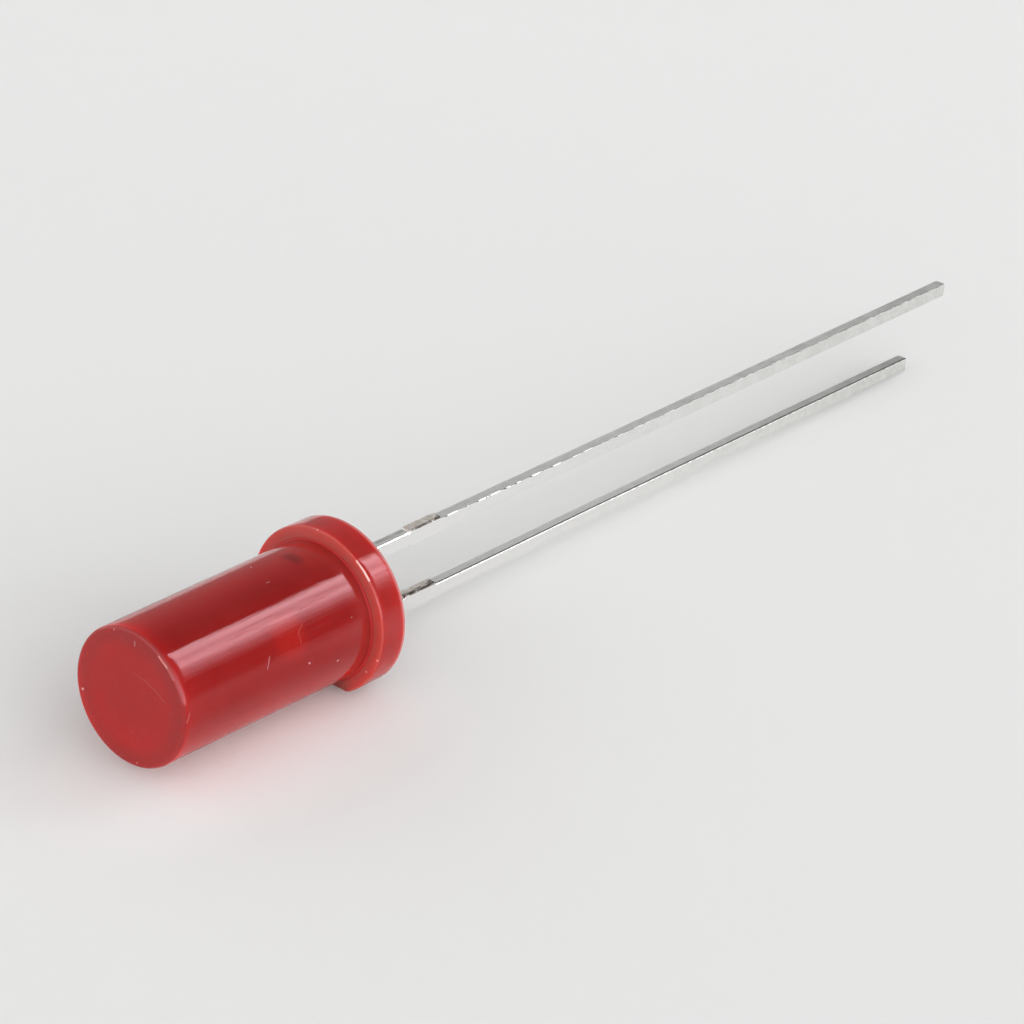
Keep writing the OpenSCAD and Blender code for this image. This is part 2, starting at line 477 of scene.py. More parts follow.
def make_nick_group():
    """A single scratch, speck or painted glint: a soft line between two points, as wide as the width."""
    group, end, vector, first, last, width = new_group(
        "nick", "Mask", ("Vector", VECTOR, None), ("Start", VECTOR, (0, 0, 0)),
        ("End", VECTOR, (0, 0, 1)), ("Width", FLOAT, 0.03))
    along = vector_node(group, "SUBTRACT", last, first)
    away = vector_node(group, "SUBTRACT", vector, first)
    share = math_node(group, "DIVIDE", vector_node(group, "DOT_PRODUCT", away, along, out=1),
                      vector_node(group, "DOT_PRODUCT", along, along, out=1), clamp=True)
    foot = vector_node(group, "SCALE", along)
    group.links.new(share, foot.node.inputs["Scale"])
    distance = vector_node(group, "LENGTH", vector_node(group, "SUBTRACT", away, foot), out=1)
    near = math_node(group, "DIVIDE", distance, width)
    group.links.new(ramp_value(group, near, 0.35, 1.0, 1.0, 0.0), end)


# ---- materials

# Small scratches and specks on the case, and painted glints on the rim of the front and on the front edge of
# the flange: both ends in the LED's axes, the width (all in mm) and the strength
CASE_MARKS_AND_GLINTS = [
    ((1.0, -2.3, 6.0), (0.65, -2.42, 6.2), 0.03, 0.30),
    ((1.45, -2.04, 4.2), (1.27, -2.15, 4.5), 0.025, 0.10),
    ((1.27, -2.15, 4.5), (0.92, -2.33, 4.5), 0.025, 0.10),
    ((0.15, -2.5, 4.2), (0.17, -2.5, 4.23), 0.045, 0.8),
    ((-0.29, -2.48, 2.75), (-0.29, -2.48, 2.8), 0.045, 0.6),
    ((1.0, -2.28, 2.0), (1.0, -2.28, 2.02), 0.03, 0.5),
    ((2.44, -0.53, 4.4), (2.44, -0.54, 4.3), 0.03, 0.35),
    ((-0.76, -2.81, 1.15), (-0.76, -2.84, 1.15), 0.05, 0.8),
    ((2.97, 0.25, 1.15), (2.98, 0.25, 1.15), 0.04, 0.8),
    ((-0.6, 2.12, 10.15), (-0.6, 2.14, 10.15), 0.055, 1.0),
    ((2.19, 0.87, 10.15), (2.19, 0.88, 10.15), 0.035, 0.6),
    ((2.16, -0.08, 10.15), (1.98, -0.09, 10.15), 0.03, 0.3),
    ((0.99, -0.1, 10.15), (0.92, -0.63, 10.15), 0.035, 0.05),
    ((0.92, -0.63, 10.15), (0.76, -1.11, 10.15), 0.035, 0.08),
    ((0.76, -1.11, 10.15), (0.51, -1.54, 10.15), 0.03, 0.10),
    ((0.12, -2.5, 10.05), (0.42, -2.46, 9.9), 0.03, 0.25),
    # Painted glints: two on the rim of the front, then two on the front edge of the flange
    ((2.06, -1.17, 10.12), (1.80, -1.55, 10.12), 0.05, 0.7),
    ((1.80, -1.55, 10.12), (1.47, -1.87, 10.12), 0.04, 0.45),
    ((2.52, -1.57, 1.13), (2.30, -1.89, 1.13), 0.045, 1.0),
    ((2.30, -1.89, 1.13), (2.03, -2.17, 1.13), 0.05, 1.0),
]


def resin_material(settings):
    """Tinted, diffused epoxy with a cast gloss: draw lines along the barrel, dust, small scratches and
    painted glints, and painted light and shade laid into its colour by place.
    """
    material, tree, shader = new_material("red_diffused_resin")
    place = led_millimetres(tree)
    x, y, z = split_axes(tree, place)
    radius = vector_node(tree, "LENGTH", stretched(tree, place, (1.0, 1.0, 0.0)), out=1)
    height = settings.case_height / MM
    step = settings.flange_height / MM

    on_side = ramp_value(tree, z, height - 0.14, height - 0.03, 1.0, 0.0)
    # The front: rougher, and also painted lighter, as painted light coming through the resin
    on_front = ramp_value(tree, z, height - 0.02, height - 0.005)
    # Painted shade: the outer part of the front is painted darker towards its rim
    painted_shade_front_rim = times(tree, ramp_value(tree, radius, 1.5, 2.45),
                 ramp_value(tree, z, height - 0.12, height - 0.06))
    # The ledge: rougher, and also painted lighter and paler, as painted light where the barrel shades it
    on_ledge = times(tree, ramp_value(tree, radius, 2.53, 2.6),
                     band_value(tree, z, (step - 0.05, step - 0.01), (step + 0.02, step + 0.06)))
    # The neck fillet: rougher, and also painted a lighter red, as painted light in its shade
    neck = times(tree, ramp_value(tree, radius, 2.54, 2.56, 1.0, 0.0),
                 band_value(tree, z, (step - 0.02, step), (step + 0.03, step + 0.07)))
    # Painted light: the barrel just above the neck is painted lighter
    painted_light_above_neck = ramp_value(tree, z, step + 0.2, step + 1.0, 1.0, 0.0)
    # Painted highlight: a pale glow along the rear rim of the flange
    painted_highlight_rear_rim = times(tree, ramp_value(tree, radius, 2.90, 2.96), ramp_value(tree, z, 0.05, 0.19, 1.0, 0.0))
    # Painted light: the upper back of the case is painted lighter
    painted_light_top_back = ramp_value(tree, plus(tree, times(tree, x, 0.75), times(tree, y, 0.66)), 1.2, 2.5)
    # Painted light: the underside is painted lighter, as painted bounce light from the floor
    painted_light_underside = ramp_value(tree, x, -2.1, -0.2, 1.0, 0.0)
    # Painted shade and light of the post buried in the resin: its shadow under the top, a glow at its
    # shoulder, and a reddish glow on the barrel's side a little in front of the cup
    painted_post_shadow, painted_post_glow, glow = (
        use_group(tree, "buried_block", Vector=place, Centre=centre, Half=half, Near=near, Reach=reach)
        for centre, half, near, reach in (
            ((1.6, 0, 2.55), (0.22, 0.10, 0.04), 0.60, 0.76),
            ((1.6, 0, 1.6), (0.3, 0.21, 0.5), 0.55, 0.9),
            ((1.2, -2.1, 4.9), (0.2, 0.1, 0.2), 0.1, 0.75)))

    # Besides dust and scratches, this mask carries the painted glints among the case marks, painted light
    # and metallic so that they shine
    dust = use_group(tree, "fine_dust", Vector=place, Density=1.3, Share=0.22, Size=0.045)
    for start, end, width, strength in CASE_MARKS_AND_GLINTS:
        mark = use_group(tree, "nick", Vector=place, Start=start, End=end, Width=width)
        dust = math_node(tree, "MAXIMUM", dust, times(tree, mark, strength))
    cloud = use_group(tree, "mottle", Vector=place, Large=0.35, Small=1.6, Balance=0.3)
    colour = mix_colour(tree, ramp_value(tree, cloud, 0.3, 0.7), settings.deep_resin, settings.resin)
    # Painted light and shade by place over the resin's own colour, then dust, scratches and painted glints
    # on top
    colour = tinted(
        tree, colour,
        (painted_light_top_back, 1.0, (0.42, 0.014, 0.012)),
        (painted_light_underside, 0.68, (0.55, 0.012, 0.010)),
        (painted_light_above_neck, 0.5, (0.30, 0.028, 0.024)),
        (painted_highlight_rear_rim, 0.5, (0.57, 0.40, 0.40)),
        (on_ledge, 0.75, (0.33, 0.074, 0.062)),
        (neck, 0.8, (0.46, 0.012, 0.012)),
        (on_front, 0.8, (0.315, 0.018, 0.016)),
        (painted_shade_front_rim, 0.75, (0.16, 0.022, 0.021)),
        (painted_post_shadow, 1.0, (0.07, 0.003, 0.004)),
        (painted_post_glow, 0.22, (0.45, 0.03, 0.014)),
        (glow, 0.3, (0.47, 0.02, 0.012)),
        (dust, 0.8, (0.85, 0.62, 0.60)))

    streaks = noise_value(tree, stretched(tree, place, (7.0, 7.0, 0.12)), 1.0, 3.0, 0.7)
    lines = use_group(tree, "fine_scratches", Vector=stretched(tree, place, (1.0, 1.0, 0.06)),
                      Scale=9.0, Width=0.012, Share=0.5)
    rings = add(tree, "ShaderNodeTexWave", {"Vector": place, "Scale": 1.1, "Distortion": 0.6,
                                            "Detail": 3.0, "Detail Scale": 2.0},
                wave_type="RINGS", rings_direction="Z").outputs["Fac"]
    rough = roughened(
        tree, ramp_value(tree, streaks, 0.35, 0.7, 0.04, 0.09),
        (on_front, 0.12), (on_ledge, 0.25), (neck, 0.5), (lines, 0.12), (dust, 0.4))
    relief = plus(tree, times(tree, streaks, on_side, 1.9), times(tree, dust, 4.0),
                  times(tree, lines, -0.4), times(tree, rings, on_front, 0.05))
    fill(tree, shader, {
        "Base Color": colour, "Roughness": rough, "Normal": bump_normal(tree, relief, 0.000002),
        "Metallic": times(tree, dust, 0.7), "IOR": 1.46, "Specular IOR Level": 0.60,
        "Specular Tint": (1.0, 0.59, 0.66, 1.0), "Subsurface Weight": 1.0,
        "Subsurface Radius": (1.0, 0.10, 0.08), "Subsurface Scale": 0.0035})
    return material


def tin_material(settings):
    """Tin plating on stamped steel: soft mottle, scratches along the lead, bare cuts at the stubs, and
    painted shade along the cathode's burr and at the stubs' ends.
    """
    material, tree, shader = new_material("tin_plating")
    place = led_millimetres(tree)
    x, y, z = split_axes(tree, place)
    half_pitch = settings.pitch / MM / 2
    half = settings.width / MM / 2

    # Where a point lies on its lead, after the bow of the cathode lead is taken out
    bow = times(tree, ramp_value(tree, z, BOW_STARTS[1], BOW_STARTS[0], 1.0, 0.0),
                ramp_value(tree, z, *BOW_ENDS, 0.0, BOW), math_node(tree, "LESS_THAN", x, 0.0))
    level = plus(tree, x, bow)
    outside = math_node(tree, "SUBTRACT", math_node(tree, "ABSOLUTE", level), half_pitch)
    from_centre = math_node(tree, "ABSOLUTE", outside)
    upper = math_node(tree, "GREATER_THAN", times(tree, level, outside), 0.0)
    on_cathode = ramp_value(tree, x, -0.5, 0.5, 1.0, 0.0)
    handled = ramp_value(tree, z, -30.0, -4.0, 1.0, 0.0, smooth=False)

    # The sheared sides, which reach further forward on the anode lead beyond its stub, and the stubs' sides
    further = times(tree, math_node(tree, "GREATER_THAN", level, 0.0),
                    ramp_value(tree, z, STUB_END - 0.15, STUB_END, 0.047, 0.0))
    cut_face = times(tree, ramp_value(tree, plus(tree, y, further), -0.14, -0.128),
                     ramp_value(tree, from_centre, half - 0.03, half - 0.008))
    stub_face = times(tree, ramp_value(tree, from_centre, half + 0.01, half + 0.03), upper)

    # The plating: dulled by handling, with sheared sides, grain, and painted shade along the cathode's burr
    mottle = use_group(tree, "mottle", Vector=place, Large=2.4, Small=11.0, Balance=0.5)
    patch = times(tree, ramp_value(tree, mottle, 0.40, 0.60), handled)
    dulled = plus(tree, times(tree, patch, 0.45), times(tree, handled, 0.55))
    dull_tin = [c * share for c, share in zip(settings.tin, (0.80, 0.80, 0.785))]
    shear = noise_value(tree, stretched(tree, place, (5.0, 12.0, 2.2)), 1.0, 5.0, 0.7)
    worn = times(tree, ramp_value(tree, z, -31.0, -15.0, 1.0, 0.0, smooth=False),
                 plus(tree, times(tree, on_cathode, 0.16), 0.18))
    sheared = ramp_value(tree, shear, 0.35, 0.65)
    cut_colour = mix_colour(tree, sheared, (0.82, 0.82, 0.80), (0.94, 0.94, 0.92))
    cut_colour = mix_colour(tree, worn, cut_colour, (0.0, 0.0, 0.0))
    grain = times(tree, ramp_value(tree, noise_value(tree, place, 7.0, 3.0, 0.65), 0.48, 0.66), handled)
    # Painted shade: a dark line along the cathode's burr
    crease = times(tree, band_value(tree, y, (-0.188, -0.180), (-0.15, -0.138)), on_cathode,
                   ramp_value(tree, z, STUB_END - 0.15, STUB_END - 0.05, 1.0, 0.0))
    colour = mix_colour(tree, dulled, settings.tin, dull_tin)
    colour = mix_colour(tree, cut_face, colour, cut_colour)
    colour = tinted(tree, colour, (grain, 0.22, (0.5, 0.5, 0.49)), (crease, 0.9, (0.10, 0.10, 0.10)))

    # The stubs: bare steel, darker in ragged patches along the torn front edge, with painted shade at both
    # ends
    drag = noise_value(tree, stretched(tree, place, (4.0, 3.0, 10.0)), 1.0, 3.0, 0.6)
    bare = mix_colour(tree, ramp_value(tree, drag, 0.35, 0.65), settings.sheared, (0.92, 0.88, 0.83))
    # Painted shade at the far end of each stub, and at its end towards the case
    painted_shade_far_end = ramp_value(tree, z, STUB_END + 0.03, STUB_END + 0.35, 0.16, 0.0)
    painted_shade_near_end = ramp_value(tree, z, STUB_TOP - 0.12, STUB_TOP - 0.02)
    reach = plus(tree, y, times(tree, painted_shade_far_end, -1.0), times(tree, on_cathode, -0.12))
    torn_edge = ramp_value(tree, reach, -0.20, -0.09, 1.0, 0.0)
    torn = ramp_value(tree, plus(tree, shear, times(tree, torn_edge, 0.24)), 0.66, 0.76)
    bare = tinted(tree, bare, (torn, 1.0, (0.15, 0.13, 0.115)), (painted_shade_near_end, 0.95, (0.09, 0.08, 0.075)))
    colour = mix_colour(tree, stub_face, colour, bare)
    scuffed = times(tree, ramp_value(tree, shear, 0.42, 0.56), cut_face,
                    ramp_value(tree, z, STUB_TOP - 0.02, STUB_TOP + 0.05), ramp_value(tree, y, -0.06, 0.03))
    colour = tinted(tree, colour, (scuffed, 0.7, (0.48, 0.45, 0.42)))

    lines = use_group(tree, "fine_scratches", Vector=stretched(tree, place, (1.0, 1.0, 0.08)),
                      Scale=30.0, Width=0.03, Share=0.42)
    dust = use_group(tree, "fine_dust", Vector=place, Density=4.0, Share=0.1, Size=0.08)
    rough = roughened(tree, plus(tree, times(tree, patch, 0.16), 0.10),
                      (cut_face, 0.42), (stub_face, 0.08), (dust, 0.3))
    relief = plus(tree, times(tree, mottle, handled, 1.1), times(tree, shear, 0.5),
                  times(tree, lines, -0.15))
    fill(tree, shader, {
        "Base Color": colour, "Roughness": rough, "Normal": bump_normal(tree, relief, 0.000004),
        "Metallic": 1.0})
    return material


def speckled_material(name, dark, light, rough, metal, large, small, depth):
    """A plain mottled finish for the small pieces inside the case."""
    material, tree, shader = new_material(name)
    place = led_millimetres(tree)
    mottle = use_group(tree, "mottle", Vector=place, Large=large, Small=small, Balance=0.6)
    colour = mix_colour(tree, ramp_value(tree, mottle, 0.35, 0.65), dark, light)
    fill(tree, shader, {
        "Base Color": colour, "Roughness": ramp_value(tree, mottle, 0.3, 0.7, rough, rough + 0.15),
        "Normal": bump_normal(tree, mottle, depth), "Metallic": metal})
    return material


def refinish(node, material):
    """Gives a CAD node that stays as it is a better material."""
    mesh = frame["nodes"][node].data
    mesh.materials.clear()
    mesh.materials.append(material)


# ---- operators

class LED_OT_cast_case(bpy.types.Operator):
    """Cast the resin case: barrel, flat front, and the flange with its flat"""
    bl_idname = "led.cast_case"
    bl_label = "Cast case"

    # The dish that the resin sets to at the rear, and how far it is drawn up the leads, in millimetres
    DISH_RADIUS, DISH_DEPTH = 2.6, 0.05
    CLIMB, CLIMB_REACH = 0.16, 0.14
    # Radius of the upright corners where the flat meets the rim, in millimetres
    EASE = 0.45

    def execute(self, context):
        s = context.scene.led_case
        barrel, height = s.barrel_radius / MM, s.case_height / MM
        flange, step = s.flange_radius / MM, s.flange_height / MM
        edge, flat = s.edge_round / MM, s.flat_radius / MM
        bm = bmesh.new()
        corners = [(0, 0), (flange, 0), (flange, step), (barrel, step), (barrel, height), (0, height)]
        turn_solid(bm, corners, cuts=[24, 3, 3, 20, 14], steps=192)
        round_ring(bm, barrel, height, s.front_round / MM, 8)
        round_ring(bm, barrel, step, s.neck_round / MM, 4)
        round_ring(bm, flange, step, edge, 5)
        round_ring(bm, flange, 0.0, edge, 5)
        self.climb_leads(bm, context.scene.led_leads)
        slice_off(bm, (-flat, 0, 0), (-1, 0, 0))
        self.ease_flat(bm, flange, flat)
        for degrees in (15, 30, 45, 60, 75):
            lean = math.radians(degrees)
            out = Vector((-math.cos(lean), 0, -math.sin(lean)))
            slice_off(bm, Vector((edge - flat, 0, edge)) + out * edge, out)
        finish_piece(bm, "resin_case", resin_material(s), "epoxy", "case")
        return {"FINISHED"}

    def ease_flat(self, bm, flange, flat):
        """Rounds the upright corners where the flat meets the rim, with cuts tangent to a small circle."""
        ease = self.EASE
        centre = Vector((ease - flat, math.sqrt((flange - ease) ** 2 - (flat - ease) ** 2), 0))
        for side in (-1, 1):
            for degrees in (5, 11, 17, 23, 29):
                turn = math.radians(degrees)
                out = Vector((-math.cos(turn), side * math.sin(turn), 0))
                slice_off(bm, Vector((centre.x, side * centre.y, 0)) + out * ease, out)

    def climb_leads(self, bm, leads):
        """The poured rear: a shallow dish, with the resin drawn a little way up each lead."""
        half_pitch = leads.pitch / MM / 2
        half_w, half_t = leads.width / MM / 2, leads.thickness / MM / 2
        for v in bm.verts:
            radius = math.hypot(v.co.x, v.co.y)
            if v.co.z > NEAR or radius > self.DISH_RADIUS:
                continue
            away = math.hypot(max(0.0, abs(abs(v.co.x) - half_pitch) - half_w),
                              max(0.0, abs(v.co.y) - half_t))
            dish = self.DISH_DEPTH * (1 - (radius / self.DISH_RADIUS) ** 2) ** 2
            v.co.z = dish - self.CLIMB * math.exp(-away / self.CLIMB_REACH)


class LED_OT_stamp_leads(bpy.types.Operator):
    """Stamp the two leads: legs with their burrs and tie-bar stubs, the anvil with its cup, and the post"""
    bl_idname = "led.stamp_leads"
    bl_label = "Stamp leads"

    # Half section of a leg, from the middle of the back sheet face to the top of its front corner
    BACK_HALF = [(0.0, 0.21), (0.10, 0.21), (0.17, 0.209), (0.215, 0.197), (0.240, 0.170), (0.247, 0.12),
                 (0.250, 0.05), (0.249, -0.03)]
    # Directions of the three facets of the sheared front corner, as (in from the side, to the front)
    STEEP, SLANT, SHALLOW = (0.242, 0.97), (0.777, 0.629), (0.951, 0.309)
    # What is left of the front sheet face
    FRONT_HALF = [(0.08, -0.21), (0.0, -0.21)]
    # Which points of a half section are the side, the front corner, the front face and the stub's part
    SIDE, CORNER, FRONT, STUB = range(5, 9), range(8, 12), range(12, 14), range(3, 12)
    # Height of a leg's end inside the case, where the stampings start, and the distance between rings
    TAIL, FOOT, RING_STEP = 0.7, 0.66, 0.07
    # Length of the worn tip of a leg, and the share of its width that is left there
    TIP, TIP_SHARE = 0.04, 0.98

    def facets(self, z, anode, side):
        """Lengths of the steep, the slanting and the shallow facet of the front corner at a height."""
        seed = 2.0 if anode else 7.0
        ragged = noise.noise(Vector((seed, side * 4.0, z * 5.0)))
        slow = noise.noise(Vector((seed + 3.0, side, z * 0.8)))
        if side < 0:
            return 0.014 + 0.004 * slow, 0.010, 0.006
        if STUB_TOP > z > STUB_END or (not anode and -1.3 > z > STUB_END):
            return 0.04 + 0.03 * ragged, 0.008 + 0.09 * max(0.0, ragged + 0.3 * slow), 0.008
        if z > STUB_END:
            return (0.006, 0.056, 0.028) if anode else (0.03, 0.03, 0.01)
        if not anode:
            return 0.048 + 0.008 * slow, 0.034 + 0.008 * ragged, 0.005
        dash = min(1.0, max(0.0, 0.55 + 5.0 * noise.noise(Vector((seed, side * 2.0, z * 1.8)))))
        fade = min(1.0, max(0.3, (z + 15.0) / 7.0))
        return 0.014 + 0.010 * ragged, 0.004 + 0.052 * dash * fade, 0.004 + 0.010 * dash

    def half_ring(self, z, anode, side):
        """One half of a leg's outline at a height, as (outwards, to the back) pairs."""
        x, y = 0.25, -0.21
        corner = [(x, y)]
        slopes = (self.STEEP, self.SLANT, self.SHALLOW)
        for (inward, forward), size in zip(slopes, self.facets(z, anode, side)):
            x -= inward * size
            corner = [(a, b + forward * size) for a, b in corner]
            corner.append((x, y))
        return self.BACK_HALF + corner + self.FRONT_HALF

    def leg(self, bm, centre, length, anode):
        """A leg with its burrs and the stub of its tie bar, drawn from inside the case down to its tip."""
        half = self.half_ring(0.0, anode, 1)
        ring = half + [(-x, y) for x, y in reversed(half[1:-1])]
        base = [bm.verts.new((centre + x, y, self.TAIL)) for x, y in ring]
        face = bm.faces.new(base)
        count = int((self.TAIL + length) / self.RING_STEP)
        stations = {round(self.TAIL - self.RING_STEP * i, 4) for i in range(1, count)}
        stations |= {STUB_TOP + 0.004, STUB_TOP - 0.1, STUB_END + 0.02, STUB_END - 0.004}
        stations |= {0.03 - length, 0.015 - length, -length}
        before = set(bm.verts)
        extrude_along(bm, face, sorted(stations, reverse=True))
        drawn = base + [v for v in bm.verts if v not in before]
        last = len(half) - 1
        places = {(round(x, 5), round(y, 5)): (i if i <= last else 2 * last - i, 1 if i <= last else -1)
                  for i, (x, y) in enumerate(ring)}
        for v in drawn:
            index, side = places[(round(v.co.x - centre, 5), round(v.co.y, 5))]
            self.wear(v, index, side, centre, length, anode)

    def wear(self, v, index, side, centre, length, anode):
        """Moves one vertex of a leg to its place on the sheared and worn surface."""
        z = v.co.z
        seed = 2.0 if anode else 7.0
        x, y = self.half_ring(z, anode, side)[index]
        x *= side
        if z < -0.2:
            shear = noise.noise(Vector((side * 3.1 + seed, y * 9.0, z * 3.0)))
            ripple = noise.noise(Vector((side * 5.3 + seed, y * 7.0, z * 0.7)))
            if index in self.SIDE:
                x += side * (0.003 * shear + 0.004 * ripple)
            if index in self.CORNER and anode and -15.0 < z < STUB_END:
                bead = max(0.0, noise.noise(Vector((seed - side, 9.0, z * 1.9))) - 0.3)
                x += side * 0.03 * bead
                y -= 0.025 * bead
            if index in self.FRONT:
                y += 0.002 * noise.noise(Vector((x * 3.0, seed, z * 0.9)))
            if index in self.STUB and STUB_TOP - 0.05 > z > STUB_END:
                ragged = noise.noise(Vector((seed, side * 2.0 + y * 6.0, z * 6.0)))
                x += side * (STUB_PROUD - 0.008 + 0.008 * ragged)
                if index in self.CORNER:
                    y += 0.02 * noise.noise(Vector((seed, side * 7.0, z * 7.0)))
        if not anode:
            x -= BOW * smooth_step(z, *BOW_STARTS) * smooth_step(z, *BOW_ENDS)
        if z + length < self.TIP:
            slant = 0.05 * (0.5 + 0.5 * y / 0.21) + 0.03 * (0.5 - 0.5 * x / 0.25)
            rough = 0.008 * (1 + noise.noise(Vector((x * 18, y * 18, seed))))
            z = max(-length, z + slant + rough)
            x *= self.TIP_SHARE
        v.co = Vector((centre + x, y, z))

    @staticmethod
    def stamping(bm, corners, thickness, edge):
        """A flat piece of the sheet in the X-Z plane, with its edges rounded."""
        face = bm.faces.new([bm.verts.new((x, -thickness / 2, z)) for x, z in corners])
        result = bmesh.ops.extrude_face_region(bm, geom=[face])
        bmesh.ops.translate(bm, verts=moved_verts(result), vec=(0, thickness, 0))
        faces = [face] + [g for g in result["geom"] if isinstance(g, bmesh.types.BMFace)]
        rims = list({e for f in faces for e in f.edges})
        bmesh.ops.bevel(bm, geom=rims, offset=edge, offset_type="OFFSET", segments=2, profile=0.5,
                        affect="EDGES", clamp_overlap=True, material=-1)

    def execute(self, context):
        s = context.scene.led_leads
        half_pitch, half_w, thick = s.pitch / MM / 2, s.width / MM / 2, s.thickness / MM
        tin = tin_material(s)

        bm = bmesh.new()
        self.leg(bm, half_pitch, s.anode_length / MM, True)
        post = ANODE_HIGH.z / MM
        self.stamping(bm, [
            (half_pitch - half_w, self.FOOT), (0.35, 1.1), (0.9, 2.7), (0.9, post), (1.35, post),
            (1.9, 2.5), (1.9, 1.1), (half_pitch + half_w, self.FOOT)], thick, 0.03)
        finish_piece(bm, "anode_stamping", tin, "tinned_steel", "anode_lead", crease=12.0)

        bm = bmesh.new()
        self.cup(bm, thick)
        self.leg(bm, -half_pitch, s.cathode_length / MM, False)
        self.stamping(bm, [
            (-half_pitch - half_w, self.FOOT), (-1.9, 1.1), (-1.9, 2.2), (-0.55, 3.1), (0.55, 3.1),
            (0.55, 2.7), (0.2, 1.6), (-0.3, 1.1), (-half_pitch + half_w, self.FOOT)], thick, 0.03)
        finish_piece(bm, "cathode_stamping", tin, "tinned_steel", "cathode_lead", crease=12.0)
        return {"FINISHED"}

    @staticmethod
    def cup(bm, thick):
        """The head of the anvil with its conical reflector cup."""
        rim = CATHODE_HIGH.z / MM
        floor = CHIP_LOW.z / MM - 0.03
        outer, mouth = 0.55, 0.42
        corners = [(0, 2.72), (thick / 2 - 0.01, 2.72), (outer, 3.1), (outer, rim), (mouth, rim),
                   (0.25, floor), (0, floor)]
        turn_solid(bm, corners, cuts=[0, 2, 4, 0, 3, 1], steps=64)
        for radius in (outer, mouth):
            round_ring(bm, radius, rim, 0.03, 3)


class LED_OT_finish_chip(bpy.types.Operator):
    """Finish the pieces sealed in the case: the adhesive, the chip and its gold wire"""
    bl_idname = "led.finish_chip"
    bl_label = "Finish chip"

    def execute(self, context):
        refinish("die_attach", speckled_material(
            "silver_adhesive", (0.42, 0.42, 0.41), (0.72, 0.72, 0.70), 0.4, 0.6, 20.0, 90.0, 0.000003))
        refinish("die", speckled_material(
            "chip_body", (0.45, 0.20, 0.07), (0.66, 0.38, 0.15), 0.25, 0.0, 12.0, 60.0, 0.000001))
        refinish("bond_wire", speckled_material(
            "gold_wire", (0.85, 0.58, 0.20), (1.0, 0.76, 0.33), 0.18, 1.0, 20.0, 80.0, 0.0000005))
        return {"FINISHED"}


